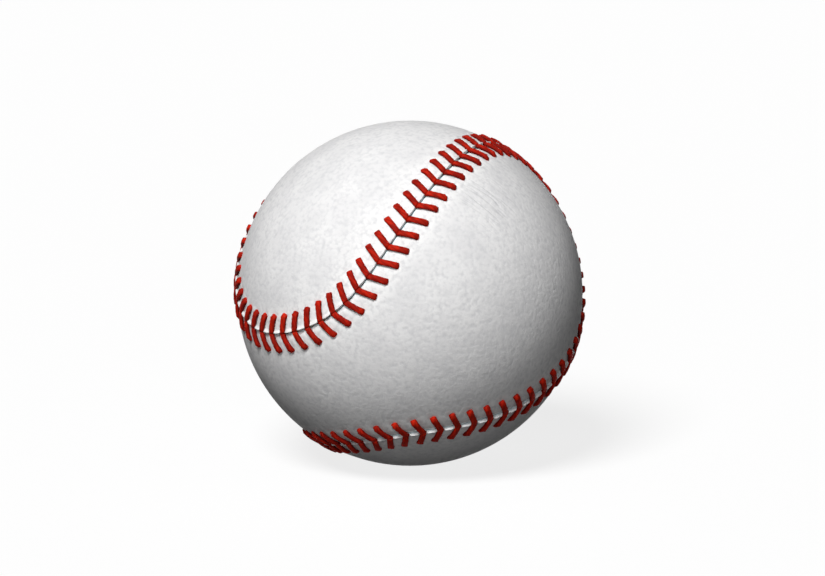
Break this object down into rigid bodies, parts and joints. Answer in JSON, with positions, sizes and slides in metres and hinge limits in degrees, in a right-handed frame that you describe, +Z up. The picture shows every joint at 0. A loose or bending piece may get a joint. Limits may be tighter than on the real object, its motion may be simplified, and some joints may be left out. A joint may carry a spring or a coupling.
{
  "type": "baseball",
  "caption": "Hard round ball of two white leather panels sewn along one curving seam with red double stitches, over yarn windings and a cushioned cork centre.",
  "frame": {"origin": "centre of the ball", "axes": "+Z up; -Y faces the front, where the seam crosses the ball as a long S; +X to the right of that front"},
  "size_m": [0.0767, 0.0746, 0.0746],
  "materials": {
    "cork": "composition cork, granular",
    "black_rubber": "matt moulded",
    "red_rubber": "matt moulded",
    "grey_wool": "wound wool yarn",
    "white_wool": "wound wool yarn",
    "finish_yarn": "fine wound poly-cotton yarn",
    "cement": "tacky dried adhesive",
    "leather": "white tanned, satin, fine grain",
    "thread": "waxed red thread"
  },
  "bodies": {
    "root": {"cork_core": "cork", "black_rubber_shell_top": "black_rubber", "black_rubber_shell_bottom": "black_rubber", "rubber_gasket": "red_rubber", "red_rubber_shell_front": "red_rubber", "red_rubber_shell_back": "red_rubber", "grey_wool_winding": "grey_wool", "white_wool_winding": "white_wool", "outer_wool_winding": "grey_wool", "finish_winding": "finish_yarn", "cement_coat": "cement", "cover_panel_a": "leather", "cover_panel_b": "leather", "stitches_a": "thread", "stitches_b": "thread"}
  },
  "joints": []
}
